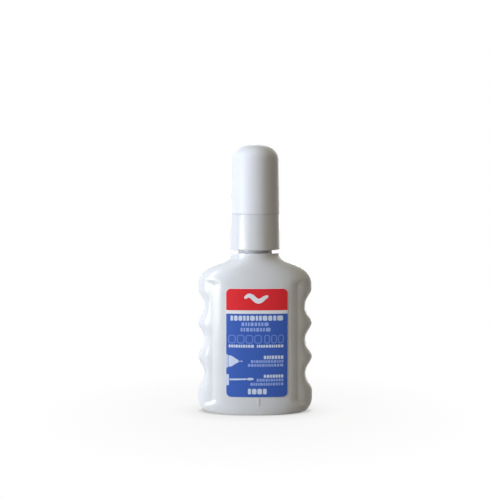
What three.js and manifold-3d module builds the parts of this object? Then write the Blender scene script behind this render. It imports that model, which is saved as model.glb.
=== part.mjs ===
// Correction pen with two tips: a squeeze bottle with finger grips, a screw-on head that carries
// a metal writing tip above and a brush below, and a cap that pulls off.
// Millimetres, +Z up, origin at the middle of the base, label facing -Y.
import * as THREE from "three";
import { mergeVertices } from "three/addons/utils/BufferGeometryUtils.js";
import Module from "manifold-3d";

const wasm = await Module();
wasm.setup();

// Clearances
const seatGap = 0.3; // between a piece and the face that it rests on
const fitGap = 0.3; // around a piece in its socket
const threadGap = 0.35; // between the crests of the two threads
const lipGap = 0.35; // between the wiping lip and the brush stem
const boreGap = 0.25; // around the needle in the metal tube
const labelGap = 0.12; // film of glue behind the label

// Bottle
const bottleHalfWidth = 17.7; // at the shoulder
const footHalfWidth = 18; // just above the foot
const bottleHalfDepth = 7.5;
const squareness = 2.3; // exponent of the oval section, where 2 is an ellipse
const bottleWall = 1.1;
const floorThickness = 1.3;
const footHeight = 4.5; // of the rounded corner at the foot
const footInset = 3; // how far that corner draws in at the sides
const footInsetFront = 0.5;
const baseRimWidth = 2.6; // flat rim that the bottle stands on
const baseRecess = 0.5;
const baseRecessSlope = 0.8;
const gripStart = 6.65; // height of the lowest finger groove's lower end
const gripPitch = 10.65;
const gripCount = 3;
const gripDepth = 2.05;
const gripBreadth = 0.68; // share that a groove's ends weigh against its trough: lower is broader
const gripRecess = 0.35; // how far the side zones lie below the front panel
const gripFade = 2.6; // height over which the side zones' step fades out
const creaseShare = 0.69; // of the half width, where the front panel ends
const creaseFlare = 0.09; // how much further out it ends past the grooves
const creaseHalfStep = 0.02;
const gripMargin = 1.45; // straight side between the top groove and the shoulder
const shoulderHeight = 9.2;
const shoulderSag = 1.9; // pull of the shoulder curve under the ledge
const shoulderRise = 6.9; // pull of the shoulder curve over the side
const ledgeRadius = 7.65;
const ledgeEdge = 0.2;
const neckRadius = 5.4;
const neckBore = 4.1;
const neckHeight = 9.2;
const neckChamfer = 0.2;
const ballRadius = 2.4;
const ballOffset = 7.5;

// Threads on the neck and in the collar
const threadHeight = 0.8;
const collarThreadHeight = 0.4;
const threadPitch = 2.4;
const threadTurns = 1.75;
const threadFoot = 1.3; // height of a ridge at its root
const threadCrest = 0.5; // and at its crest
const threadLift = 2.6; // middle of the ridge's start above the ledge
const threadSink = 0.25; // how deep a ridge's root reaches into the wall

// Label
const labelHalfWidth = 9.45;
const labelOffset = 0.5;
const labelBottom = 6.2;
const labelHeight = 33;
const labelCorner = 1.5;
const labelThickness = 0.2;

// Wiper in the neck, and the gasket
const wiperFlange = 0.8;
const wiperWall = 0.8;
const wiperLength = 4.4;
const wiperLip = 0.6;
const wiperSetback = 0.1; // of the flange inside the rim's edge
const gasketThickness = 0.8;
const gasketBore = 4.3;

// Screw collar
const collarGap = 1.7; // bare neck below the collar
const collarWall = 0.7;
const collarFlare = 0.2; // how much wider its foot is than its top
const collarEdge = 0.35;
const collarTopWall = 1.5;
const spigotHeight = 3.15;
const spigotWall = 1.2;
const spigotTaper = 0.1;
const spigotCorner = 0.5;

// Brush, carried by the holder
const holderThickness = 1.2;
const bossRadius = 2.1;
const bossLength = 4;
const pegRadius = 1;
const portRadius = 0.6;
const portCount = 4;
const portCircle = 2.9;
const stemRootRadius = 1.55;
const stemEndRadius = 0.88;
const stemLength = 27.4;
const ferruleRadius = 1.15;
const ferruleLength = 2.2;
const ferruleWall = 0.35;
const bristleLength = 10;
const bristleRadius = 1.05;
const bristleTipRadius = 0.25;

// Nozzle, metal tip and its valve
const nozzleRootRadius = 4.3;
const nozzleEndRadius = 2.5;
const nozzleLength = 10.2;
const nozzleFlange = 0.9;
const nozzleBore = 3.2;
const nozzleNose = 2.1; // length of the straight hole that holds the tube
const nozzleCone = 2.1; // length of the cone below it
const nozzleEdge = 0.5;
const tipRadius = 0.75;
const tipReach = 4.55;
const tipChamfer = 0.2;
const tipFlangeRadius = 1.9;
const tipFlange = 0.7;
const needleRadius = 0.25;
const needleReach = 0.3;
const needleHeadRadius = 1.1;
const needleHead = 0.8;
const pilotRadius = 0.6; // of the pegs that centre the spring
const pilotLength = 1;
const retainerThickness = 1;
const retainerPortRadius = 0.55;
const retainerPortCircle = 1.8;
const retainerPortCount = 3;
const springRadius = 0.95;
const wireRadius = 0.14;
const springTurns = 7;

// Cap
const capWall = 1.1;
const capTaper = 0.3; // how much narrower the cap is at the top
const capCorner = 4.6;
const capCrown = 0.15;
const capEdge = 0.15;
const sealRadius = 2.4;
const sealRoof = 1.35;
const sealHeadroom = 0.5; // over the needle
const sealLift = 1; // of the seal above the nozzle
const sealBossWall = 0.9;

// Roundness of the turned pieces, in segments, and of curves, in steps
const wideTurn = 32;
const slimTurn = 24;
const fineTurn = 12;
const arcSteps = 5;
const grooveRows = 12;
const innerGrooveRows = 4;
const shoulderRows = 9;
const threadSteps = 24;
const coilSteps = 8;
const coilSides = 5;

// Heights, each worked out from what lies below it
const shoulderZ = gripStart + gripCount * gripPitch + gripMargin;
const ledgeZ = shoulderZ + shoulderHeight;
const rimZ = ledgeZ + neckHeight;
const wiperZ = rimZ + seatGap;
const gasketZ = wiperZ + wiperFlange + seatGap;
const holderZ = gasketZ + gasketThickness + seatGap;
const nozzleZ = holderZ + holderThickness + seatGap;
const collarZ = ledgeZ + collarGap;
const collarCeilingZ = nozzleZ + nozzleFlange + seatGap;
const spigotTopZ = collarCeilingZ + collarTopWall;
const collarShoulderZ = spigotTopZ - spigotHeight;
const nozzleTopZ = spigotTopZ + nozzleLength;
const tipFlangeZ = nozzleTopZ - nozzleNose - nozzleCone - tipFlange / 2;
const needleHeadZ = tipFlangeZ - seatGap - needleHead;
const tipTopZ = nozzleTopZ + tipReach;
const needleTopZ = tipTopZ + needleReach;
const stemZ = holderZ - bossLength - seatGap;
const ferruleZ = stemZ - stemLength - ferruleLength;
const sealZ = nozzleTopZ + sealLift;
const sealTopZ = needleTopZ + sealHeadroom + sealRoof;
const capZ = collarShoulderZ + seatGap;
const capCeilingZ = sealTopZ + seatGap;
const capTopZ = capCeilingZ + capWall + capCrown;

// Radii that follow from the neck outwards
const collarBore = neckRadius + threadHeight + threadGap + collarThreadHeight;
const collarTopRadius = collarBore + collarWall;
const capRimRadius = collarTopRadius;
const spigotRadius = capRimRadius - capWall - fitGap;
const insertBore = spigotRadius - spigotWall; // pocket for the holder and the nozzle's flange
const insertRadius = insertBore - fitGap;

// Finishes
const whitePlastic = { color: 0xe6e5e4, roughness: 0.28, metalness: 0 };
const capPlastic = { color: 0xe4e5ea, roughness: 0.24, metalness: 0 };
const innerPlastic = { color: 0xdcdcd8, roughness: 0.5, metalness: 0 };
const nozzlePlastic = { color: 0xcfcdd8, roughness: 0.35, metalness: 0 };
const printedFilm = { color: 0x3b5daf, roughness: 0.35, metalness: 0 };
const softSeal = { color: 0x9aa0a6, roughness: 0.8, metalness: 0 };
const steel = { color: 0x8d8f92, roughness: 0.25, metalness: 1 };
const nylon = { color: 0xb9b4a6, roughness: 0.6, metalness: 0 };

// Closed surface through rings of points that run round to the left, with a fan over each end.
function loft(rings) {
  const count = rings[0].length;
  const middle = (ring) => [0, 1, 2].map((k) => ring.reduce((sum, p) => sum + p[k], 0) / count);
  const last = (rings.length - 1) * count;
  const startMiddle = rings.length * count;
  const points = [...rings.flat(), middle(rings[0]), middle(rings.at(-1))];
  const faces = [];
  for (let j = 0; j < count; j++) {
    const k = (j + 1) % count;
    faces.push(startMiddle, k, j, last + j, last + k, startMiddle + 1);
    for (let i = 0; i < last; i += count) {
      faces.push(i + j, i + k, i + count + k, i + j, i + count + k, i + count + j);
    }
  }
  const geometry = new THREE.BufferGeometry();
  geometry.setAttribute("position", new THREE.Float32BufferAttribute(points.flat(), 3));
  geometry.setIndex(faces);
  return geometry;
}

// Profile of [radius, height] points turned about Z.
function turned(profile, segments) {
  const points = profile.map(([radius, z]) => new THREE.Vector2(radius, z));
  return new THREE.LatheGeometry(points, segments).rotateX(Math.PI / 2);
}

// Closed profile turned into a ring.
function turnedRing(profile, segments) {
  return turned([...profile, profile[0]], segments);
}

// Points of an arc in a profile, from one angle to another, in degrees from the outward direction.
function arc(centreRadius, centreZ, radius, from, to) {
  return Array.from({ length: arcSteps + 1 }, (_, i) => {
    const angle = THREE.MathUtils.degToRad(from + ((to - from) * i) / arcSteps);
    return [centreRadius + radius * Math.cos(angle), centreZ + radius * Math.sin(angle)];
  });
}

function toSolid(geometry) {
  const bare = geometry.clone();
  bare.deleteAttribute("normal");
  bare.deleteAttribute("uv");
  const merged = mergeVertices(bare);
  const vertProperties = merged.attributes.position.array;
  const triVerts = new Uint32Array(merged.index.array);
  return new wasm.Manifold(new wasm.Mesh({ numProp: 3, vertProperties, triVerts }));
}

function toGeometry(solid) {
  const mesh = solid.getMesh();
  const geometry = new THREE.BufferGeometry();
  geometry.setAttribute("position", new THREE.BufferAttribute(mesh.vertProperties, 3));
  geometry.setIndex(new THREE.BufferAttribute(mesh.triVerts, 1));
  return geometry;
}

function joined(...geometries) {
  return toGeometry(geometries.map(toSolid).reduce((sum, solid) => sum.add(solid)));
}

function piece(name, geometry, finish, z = 0) {
  const mesh = new THREE.Mesh(geometry, new THREE.MeshStandardMaterial(finish));
  mesh.name = name;
  mesh.position.z = z;
  return mesh;
}

// Half width of the bottle's plain side at a height, without the grooves.
function sideHalfWidth(z) {
  const share = THREE.MathUtils.clamp((z - footHeight) / (shoulderZ - footHeight), 0, 1);
  return THREE.MathUtils.lerp(footHalfWidth, bottleHalfWidth, share);
}

// Depth of the finger grooves at a height: a row of waves with broad troughs.
function grooveDepth(z) {
  const place = (z - gripStart) / gripPitch;
  if (place <= 0 || place >= gripCount) return 0;
  const wave = Math.sin(Math.PI * place) ** 2;
  return (gripDepth * wave) / (wave + gripBreadth * (1 - wave));
}

// One along the grooves, and easing to nothing past both ends of them.
function gripShare(z) {
  const top = gripStart + gripCount * gripPitch;
  const rise = THREE.MathUtils.smoothstep(z, gripStart - gripFade / 2, gripStart + gripFade / 2);
  return rise * (1 - THREE.MathUtils.smoothstep(z, top - gripFade, top));
}

// Distance of the front panel from the middle plane.
function panelDepth(x, z) {
  const share = Math.abs(x) / sideHalfWidth(z);
  return bottleHalfDepth * Math.pow(1 - share ** squareness, 1 / squareness);
}

// A quarter of a section, from its side to the middle of its front: the front panel's stations
// are shares of the crease's place, and the side zone's are angles that end on the crease.
function quarterSection({ width, depth, power, groove = 0, grip = 0 }) {
  const crease = creaseShare + creaseFlare * (1 - grip);
  const outer = crease + creaseHalfStep;
  const creaseAngle = Math.acos(outer ** (power / 2));
  const points = [0, 0.25, 0.5, 0.75, 1].map((share) => {
    const angle = creaseAngle * share;
    const x = width * Math.cos(angle) ** (2 / power);
    const y = (depth - gripRecess * grip) * Math.sin(angle) ** (2 / power);
    const beyond = (x - outer * width) / (width - outer * width);
    return [x - groove * beyond, y];
  });
  for (const share of [1, 0.68, 0.34, 0]) {
    const x = (crease - creaseHalfStep) * share;
    points.push([width * x, depth * (1 - x ** power) ** (1 / power)]);
  }
  return points;
}

// A whole section at its height, round to the left from +X.
function section(level) {
  const quarter = quarterSection(level);
  const end = quarter.length - 1;
  const back = quarter.slice(1, end).reverse();
  const flat = [
    ...quarter,
    ...back.map(([x, y]) => [-x, y]),
    ...quarter.map(([x, y]) => [-x, -y]),
    ...back.map(([x, y]) => [x, -y]),
  ];
  return flat.map(([x, y]) => [x, y, level.z]);
}

function roundLevel(radius, z) {
  return { width: radius, depth: radius, power: 2, z };
}

// Levels of the side between the foot and the shoulder, drawn in by a wall inside.
function sideLevels(rows, inset) {
  const steps = rows * gripCount;
  return Array.from({ length: steps + 1 }, (_, i) => {
    const z = gripStart + (gripPitch * gripCount * i) / steps;
    return {
      width: sideHalfWidth(z) - inset,
      depth: bottleHalfDepth - inset,
      power: squareness,
      groove: grooveDepth(z),
      grip: inset ? 0 : gripShare(z),
      z,
    };
  });
}

// Rounded corner at the foot, from the flat rim up to the side.
function footLevels() {
  return [0, 18, 36, 54, 72, 90].map((degrees) => {
    const angle = THREE.MathUtils.degToRad(degrees);
    return {
      width: footHalfWidth - footInset * (1 - Math.sin(angle)),
      depth: bottleHalfDepth - footInsetFront * (1 - Math.sin(angle)),
      power: squareness,
      z: footHeight * (1 - Math.cos(angle)),
    };
  });
}

// The shoulder's S curve from the side up to the ledge, drawn in by a wall along its normal.
function shoulderLevels(inset) {
  const curve = new THREE.CubicBezierCurve(
    new THREE.Vector2(bottleHalfWidth, shoulderZ),
    new THREE.Vector2(bottleHalfWidth, shoulderZ + shoulderRise),
    new THREE.Vector2(ledgeRadius, ledgeZ - ledgeEdge - shoulderSag),
    new THREE.Vector2(ledgeRadius, ledgeZ - ledgeEdge),
  );
  return Array.from({ length: shoulderRows + 1 }, (_, i) => {
    const t = i / shoulderRows;
    const point = curve.getPoint(t);
    const tangent = curve.getTangent(t);
    const ease = THREE.MathUtils.smoothstep(t, 0, 1);
    return {
      width: point.x - inset * tangent.y,
      depth: THREE.MathUtils.lerp(bottleHalfDepth, ledgeRadius, ease) - inset,
      power: THREE.MathUtils.lerp(squareness, 2, ease),
      z: point.y + inset * tangent.x,
    };
  });
}

function neckLevels() {
  return [
    roundLevel(ledgeRadius - ledgeEdge, ledgeZ),
    roundLevel(neckRadius, ledgeZ),
    roundLevel(neckRadius, rimZ - neckChamfer),
    roundLevel(neckRadius - neckChamfer, rimZ),
  ];
}

// The hollow, from the mouth down to the floor.
function hollowLevels() {
  const shoulder = shoulderLevels(bottleWall).slice(0, -2).reverse();
  const foot = footLevels();
  const floor = foot[2];
  return [
    roundLevel(neckBore, rimZ),
    roundLevel(neckBore, ledgeZ - bottleWall),
    ...shoulder,
    ...sideLevels(innerGrooveRows, bottleWall).reverse(),
    { ...foot.at(-1), width: footHalfWidth - bottleWall, depth: bottleHalfDepth - bottleWall },
    { ...floor, width: floor.width - bottleWall, depth: floor.depth - bottleWall, z: floorThickness },
  ];
}

// Shallow recess in the base, inside the flat rim.
function baseLevels() {
  const rim = footLevels()[0];
  const inside = (inset, z) => ({ ...rim, width: rim.width - inset, depth: rim.depth - inset, z });
  return [inside(baseRimWidth + baseRecessSlope, baseRecess), inside(baseRimWidth, 0)];
}

// A ridge wound round Z, as wide as its foot at one radius and as its crest at the other.
// It rises out of the wall over the first part of a turn and sinks into it over the last.
function threadRidge(rootRadius, crestRadius, startZ) {
  const steps = Math.round(threadSteps * threadTurns);
  const rings = Array.from({ length: steps + 1 }, (_, i) => {
    const turn = (threadTurns * i) / steps;
    const rise = Math.min(1, turn * 8, (threadTurns - turn) * 8);
    const angle = 2 * Math.PI * turn;
    const z = startZ + threadPitch * turn;
    const inward = crestRadius < rootRadius;
    const crest = THREE.MathUtils.lerp(rootRadius, crestRadius, rise);
    const root = rootRadius + (inward ? threadSink : -threadSink);
    const rootSide = [[root, z - threadFoot / 2], [root, z + threadFoot / 2]];
    const crestSide = [[crest, z + threadCrest / 2], [crest, z - threadCrest / 2]];
    const outline = inward ? [...crestSide, ...rootSide] : [...rootSide, ...crestSide];
    const ordered = inward ? [outline[1], outline[0], outline[3], outline[2]] : outline;
    return ordered.map(([radius, height]) => [
      radius * Math.cos(angle),
      radius * Math.sin(angle),
      height,
    ]);
  });
  return loft(rings);
}

function bottleBody() {
  const levels = [
    ...baseLevels(),
    ...footLevels(),
    ...sideLevels(grooveRows, 0),
    ...shoulderLevels(0),
    ...neckLevels(),
    ...hollowLevels(),
  ];
  const thread = threadRidge(neckRadius, neckRadius + threadHeight, ledgeZ + threadLift);
  return joined(loft(levels.map(section)), thread);
}

// Printed film on the front panel, bent to it, with rounded corners.
function frontLabel() {
  const steps = 4 * Math.ceil(labelHalfWidth / 4);
  const cornerShares = [0, 0.1, 0.3, 0.6, 1].map((share) => share * labelCorner);
  const inner = Array.from({ length: steps - 1 }, (_, i) => {
    const span = 2 * (labelHalfWidth - labelCorner);
    return labelCorner + (span * (i + 1)) / steps;
  });
  const distances = [
    ...cornerShares,
    ...inner,
    ...cornerShares.map((share) => 2 * labelHalfWidth - share).reverse(),
  ];
  const rings = distances.map((distance) => {
    const x = labelOffset - labelHalfWidth + distance;
    const intoCorner = Math.max(0, labelCorner - Math.min(distance, 2 * labelHalfWidth - distance));
    const cut = labelCorner - Math.sqrt(labelCorner ** 2 - intoCorner ** 2);
    const low = labelBottom + cut * (1 - creaseHalfStep);
    const high = labelBottom + labelHeight - cut * (1 - creaseHalfStep);
    const back = (z) => -panelDepth(x, z) - labelGap;
    return [
      [x, back(low), low],
      [x, back(high), high],
      [x, back(high) - labelThickness, high],
      [x, back(low) - labelThickness, low],
    ];
  });
  return loft(rings);
}

// Plug in the neck with a flange on the rim and a lip that wipes the brush stem.
function neckWiper() {
  const outer = neckBore - fitGap;
  const bore = outer - wiperWall;
  const lip = stemRootRadius + lipGap;
  const bottom = -seatGap - wiperLength;
  return turnedRing(
    [
      [lip, bottom],
      [outer - wiperWall / 2, bottom],
      [outer, bottom + wiperLip],
      [outer, 0],
      [neckRadius - wiperSetback, 0],
      [neckRadius - wiperSetback, wiperFlange],
      [bore, wiperFlange],
      [bore, bottom + 2 * wiperLip],
      [lip, bottom + wiperLip],
    ],
    slimTurn,
  );
}

function neckGasket() {
  const outer = collarBore - fitGap;
  return turnedRing(
    [
      [gasketBore, 0],
      [outer, 0],
      [outer, gasketThickness],
      [gasketBore, gasketThickness],
    ],
    wideTurn,
  );
}

// Skirt with the thread inside, a shoulder for the cap's rim and a spigot that the cap grips.
function screwCollar() {
  const shoulder = collarShoulderZ - collarZ;
  const top = spigotTopZ - collarZ;
  const ceiling = collarCeilingZ - collarZ;
  const pocket = holderZ - collarZ;
  const footRadius = collarTopRadius + collarFlare;
  const nozzleHole = nozzleRootRadius + fitGap;
  const skirt = turnedRing(
    [
      [footRadius - collarEdge, 0],
      [footRadius, collarEdge],
      [collarTopRadius, shoulder - capEdge],
      [collarTopRadius - capEdge, shoulder],
      [spigotRadius, shoulder],
      [spigotRadius - spigotTaper, top - spigotCorner],
      [spigotRadius - spigotTaper - spigotCorner, top],
      [nozzleHole, top],
      [nozzleHole, ceiling],
      [insertBore, ceiling],
      [insertBore, pocket],
      [collarBore, pocket],
      [collarBore, collarEdge],
      [collarBore + collarEdge, 0],
    ],
    wideTurn,
  );
  const startZ = ledgeZ + threadLift + threadPitch / 2 - collarZ;
  return joined(skirt, threadRidge(collarBore, collarBore - collarThreadHeight, startZ));
}

// Round plate with a ring of holes through it.
function portedPlate(radius, thickness, holeRadius, circle, count) {
  const plate = new THREE.Shape().absarc(0, 0, radius, 0, 2 * Math.PI);
  for (let i = 0; i < count; i++) {
    const angle = (2 * Math.PI * i) / count;
    const centre = [circle * Math.cos(angle), circle * Math.sin(angle)];
    plate.holes.push(new THREE.Path().absarc(...centre, holeRadius, 0, 2 * Math.PI, true));
  }
  const options = { depth: thickness, bevelEnabled: false, curveSegments: fineTurn };
  return new THREE.ExtrudeGeometry(plate, options);
}

// Bridge across the head: lets the fluid up through its ports and holds the brush below.
function stemHolder() {
  const socket = pegRadius + fitGap;
  const plate = portedPlate(insertRadius, holderThickness, portRadius, portCircle, portCount);
  const boss = turned(
    [
      [0, -seatGap],
      [socket, -seatGap],
      [socket, -bossLength],
      [bossRadius, -bossLength],
      [bossRadius, holderThickness / 2],
      [0, holderThickness / 2],
    ],
    slimTurn,
  );
  return joined(plate, boss);
}

function brushStem() {
  const peg = bossLength - seatGap;
  const innerPeg = ferruleRadius - ferruleWall - fitGap;
  const shank = seatGap - stemLength;
  return turned(
    [
      [0, shank - ferruleLength / 2 + seatGap],
      [innerPeg, shank - ferruleLength / 2 + seatGap],
      [innerPeg, shank],
      [stemEndRadius, shank],
      [stemRootRadius, -seatGap],
      [stemRootRadius - seatGap, 0],
      [pegRadius, 0],
      [pegRadius, peg],
      [0, peg],
    ],
    fineTurn,
  );
}

function brushFerrule() {
  const bore = ferruleRadius - ferruleWall;
  return turnedRing(
    [
      [bore, 0],
      [ferruleRadius, 0],
      [ferruleRadius, ferruleLength],
      [bore, ferruleLength],
    ],
    fineTurn,
  );
}

// Tuft that swells below the ferrule and closes to a point.
function brushBristles() {
  const root = ferruleRadius - ferruleWall - fitGap;
  const shares = [
    [bristleTipRadius, 0],
    [bristleRadius * 0.72, 0.09],
    [bristleRadius, 0.45],
    [bristleRadius * 0.86, 0.96],
  ];
  const belly = shares.map(([radius, share]) => [radius, (share - 1) * bristleLength - seatGap]);
  const top = ferruleLength / 2 - seatGap;
  return turned([[0, belly[0][1]], ...belly, [root, -seatGap], [root, top], [0, top]], fineTurn);
}

// Rounded cone with a flange under the collar's top, bored for the valve and the tube.
function nozzleBody() {
  const base = spigotTopZ - nozzleZ;
  const top = nozzleTopZ - nozzleZ;
  const curve = new THREE.QuadraticBezierCurve(
    new THREE.Vector2(nozzleRootRadius, base),
    new THREE.Vector2(nozzleRootRadius, base + nozzleLength * 0.62),
    new THREE.Vector2(nozzleEndRadius, top - nozzleEdge),
  );
  const side = curve.getPoints(2 * arcSteps).map((point) => [point.x, point.y]);
  const hole = tipRadius + fitGap;
  return turnedRing(
    [
      [nozzleBore, 0],
      [insertRadius, 0],
      [insertRadius, nozzleFlange],
      [nozzleRootRadius, nozzleFlange],
      ...side,
      [nozzleEndRadius - nozzleEdge, top],
      [hole, top],
      [hole, top - nozzleNose],
      [nozzleBore, top - nozzleNose - nozzleCone],
    ],
    slimTurn,
  );
}

// Tube with a flange inside the nozzle.
function metalTip() {
  const top = tipTopZ - tipFlangeZ;
  const bore = needleRadius + boreGap;
  return turnedRing(
    [
      [bore, 0],
      [tipFlangeRadius, 0],
      [tipFlangeRadius, tipFlange],
      [tipRadius, tipFlange],
      [tipRadius, top - tipChamfer],
      [tipRadius - tipChamfer / 2, top],
      [bore, top],
    ],
    fineTurn,
  );
}

// Pin that closes the tube, with a head that the spring pushes up and a peg in the spring.
function valveNeedle() {
  const top = needleTopZ - needleHeadZ;
  return turned(
    [
      [0, -pilotLength],
      [pilotRadius, -pilotLength],
      [pilotRadius, 0],
      [needleHeadRadius, 0],
      [needleHeadRadius, needleHead],
      [needleRadius, needleHead],
      [needleRadius, top - needleRadius],
      [needleRadius / 2, top],
      [0, top],
    ],
    fineTurn,
  );
}

function springRetainer() {
  const plate = portedPlate(
    nozzleBore - fitGap,
    retainerThickness,
    retainerPortRadius,
    retainerPortCircle,
    retainerPortCount,
  );
  const peg = new THREE.CylinderGeometry(pilotRadius, pilotRadius, pilotLength + retainerThickness, fineTurn);
  peg.rotateX(Math.PI / 2).translate(0, 0, (pilotLength + retainerThickness) / 2);
  return joined(plate, peg);
}

// One unbroken wire wound from the retainer up to the needle's head.
function tipSpring() {
  const bottom = nozzleZ + retainerThickness + seatGap + wireRadius;
  const top = needleHeadZ - seatGap - wireRadius;
  const steps = springTurns * coilSteps;
  const rings = Array.from({ length: steps + 1 }, (_, i) => {
    const angle = (2 * Math.PI * i) / coilSteps;
    const height = bottom + ((top - bottom) * i) / steps;
    return Array.from({ length: coilSides }, (_, j) => {
      const around = (-2 * Math.PI * j) / coilSides;
      const radius = springRadius + wireRadius * Math.cos(around);
      const z = height + wireRadius * Math.sin(around);
      return [radius * Math.cos(angle), radius * Math.sin(angle), z];
    });
  });
  return loft(rings);
}

// Tapered shell with a rounded top and a round boss inside that holds the seal.
function capShell() {
  const topRadius = capRimRadius - capTaper;
  const cornerRadius = topRadius - capCorner;
  const cornerZ = capTopZ - capCrown - capCorner - capZ;
  const ceiling = capCeilingZ - capZ;
  const bossBore = sealRadius + fitGap;
  const bossOuter = bossBore + sealBossWall;
  const bossZ = sealZ - capZ;
  const innerCorner = capCorner - capWall;
  const bossAngle = THREE.MathUtils.radToDeg(Math.acos((bossOuter - cornerRadius) / innerCorner));
  const rimBore = capRimRadius - capWall;
  return turned(
    [
      [0, ceiling],
      [bossBore, ceiling],
      [bossBore, bossZ],
      [bossOuter, bossZ],
      ...arc(cornerRadius, cornerZ, innerCorner, bossAngle, 0),
      [rimBore, spigotHeight],
      [rimBore, capEdge],
      [rimBore + capEdge, 0],
      [capRimRadius - capEdge, 0],
      [capRimRadius, capEdge],
      ...arc(cornerRadius, cornerZ, capCorner, 0, 90),
      [cornerRadius / 2, capTopZ - capCrown / 4 - capZ],
      [0, capTopZ - capZ],
    ],
    wideTurn,
  );
}

// Soft plug with a blind hole that closes over the metal tip.
function capSeal() {
  const height = sealTopZ - sealZ;
  const bore = tipRadius + fitGap;
  const roof = height - sealRoof;
  return turned(
    [
      [0, roof],
      [bore, roof],
      [bore, 0],
      [sealRadius, 0],
      [sealRadius, height],
      [0, height],
    ],
    slimTurn,
  );
}

function mixingBall() {
  return new THREE.SphereGeometry(ballRadius, slimTurn, fineTurn);
}

function bottleGroup() {
  const group = new THREE.Group();
  const ball = piece("mixing_ball", mixingBall(), steel, floorThickness + seatGap + ballRadius);
  ball.position.x = ballOffset;
  group.add(
    piece("bottle_body", bottleBody(), whitePlastic),
    piece("front_label", frontLabel(), printedFilm),
    piece("neck_wiper", neckWiper(), innerPlastic, wiperZ),
    ball,
  );
  return group;
}

function headGroup() {
  const group = new THREE.Group();
  group.add(
    piece("neck_gasket", neckGasket(), softSeal, gasketZ),
    piece("screw_collar", screwCollar(), capPlastic, collarZ),
    piece("stem_holder", stemHolder(), innerPlastic, holderZ),
    piece("brush_stem", brushStem(), innerPlastic, stemZ),
    piece("brush_ferrule", brushFerrule(), innerPlastic, ferruleZ),
    piece("brush_bristles", brushBristles(), nylon, ferruleZ),
    piece("nozzle", nozzleBody(), nozzlePlastic, nozzleZ),
    piece("metal_tip", metalTip(), steel, tipFlangeZ),
    piece("spring_retainer", springRetainer(), innerPlastic, nozzleZ),
    piece("tip_spring", tipSpring(), steel),
    piece("valve_needle", valveNeedle(), steel, needleHeadZ),
  );
  return group;
}

function capGroup() {
  const group = new THREE.Group();
  group.add(
    piece("cap_shell", capShell(), capPlastic, capZ),
    piece("cap_seal", capSeal(), softSeal, sealZ),
  );
  return group;
}

const pen = new THREE.Group();
pen.add(bottleGroup(), headGroup(), capGroup());
export default pen;
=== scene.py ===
import math
import bpy
import numpy as np
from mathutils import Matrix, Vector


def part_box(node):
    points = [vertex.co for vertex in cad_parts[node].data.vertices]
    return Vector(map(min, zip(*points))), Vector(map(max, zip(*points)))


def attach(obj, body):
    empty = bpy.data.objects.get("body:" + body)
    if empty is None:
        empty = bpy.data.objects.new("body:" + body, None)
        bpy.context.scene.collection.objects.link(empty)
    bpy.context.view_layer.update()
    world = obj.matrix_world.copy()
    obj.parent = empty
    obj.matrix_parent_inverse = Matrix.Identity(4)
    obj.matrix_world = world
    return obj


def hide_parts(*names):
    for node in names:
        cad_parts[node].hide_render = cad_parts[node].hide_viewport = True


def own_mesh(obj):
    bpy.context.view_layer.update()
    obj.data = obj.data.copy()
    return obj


# Correction pen with a metal tip and a brush: finished surfaces, label, light and camera.
# Sizes in the dictionaries are millimetres; the meshes are made in metres.
mm = 0.001
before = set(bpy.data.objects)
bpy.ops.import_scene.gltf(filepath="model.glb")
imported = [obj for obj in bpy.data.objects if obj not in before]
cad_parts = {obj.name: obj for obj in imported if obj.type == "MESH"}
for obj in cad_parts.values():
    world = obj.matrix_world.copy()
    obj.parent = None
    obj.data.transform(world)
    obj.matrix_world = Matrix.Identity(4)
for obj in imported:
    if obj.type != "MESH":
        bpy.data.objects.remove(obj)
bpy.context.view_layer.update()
print("frame loaded")


# Heights of a CAD node's lowest and highest points.
def span(node):
    return [corner.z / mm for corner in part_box(node)]


# The lowest alone.
def low(node):
    return span(node)[0]


# The highest alone.
def high(node):
    return span(node)[1]


# Meshes

# A smooth mesh from points in millimetres, with sharp edges where faces meet at a wide angle.
def makeMesh(name, points, quads, triangles=np.zeros((0, 3), int)):
    mesh = bpy.data.meshes.new(name)
    mesh.from_pydata((points * mm).tolist(), [], quads.tolist() + triangles.tolist())
    mesh.polygons.foreach_set("use_smooth", np.ones(len(mesh.polygons), bool))
    mesh.validate()
    mesh.set_sharp_from_angle(angle=math.radians(38))
    obj = bpy.data.objects.new(name, mesh)
    bpy.context.scene.collection.objects.link(obj)
    return obj


# Quads of a grid. Its last column is joined to the first, and so is its last row if rows wrap.
def tubeQuads(rows, columns, wrapRows=False):
    r = np.arange(rows if wrapRows else rows - 1)[:, None]
    c = np.arange(columns)[None, :]
    r2, c2 = (r + 1) % rows, (c + 1) % columns
    quads = [r * columns + c, r * columns + c2, r2 * columns + c2, r2 * columns + c]
    return np.stack(quads, -1).reshape(-1, 4)


# A tube through rows of points, each a closed ring. Both ends are closed by a fan to the ring's
# middle, or the last ring is joined to the first.
def tubeMesh(name, rings, wrapRows=False):
    rows, columns = rings.shape[:2]
    points = rings.reshape(-1, 3)
    quads = tubeQuads(rows, columns, wrapRows)
    if wrapRows:
        return makeMesh(name, points, quads)
    c = np.arange(columns)
    c2 = (c + 1) % columns
    last = (rows - 1) * columns
    ends = np.stack([rings[0].mean(0), rings[-1].mean(0)])
    start = np.stack([np.full(columns, len(points)), c2, c], -1)
    end = np.stack([last + c, last + c2, np.full(columns, len(points) + 1)], -1)
    return makeMesh(name, np.concatenate([points, ends]), quads, np.concatenate([start, end]))


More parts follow.
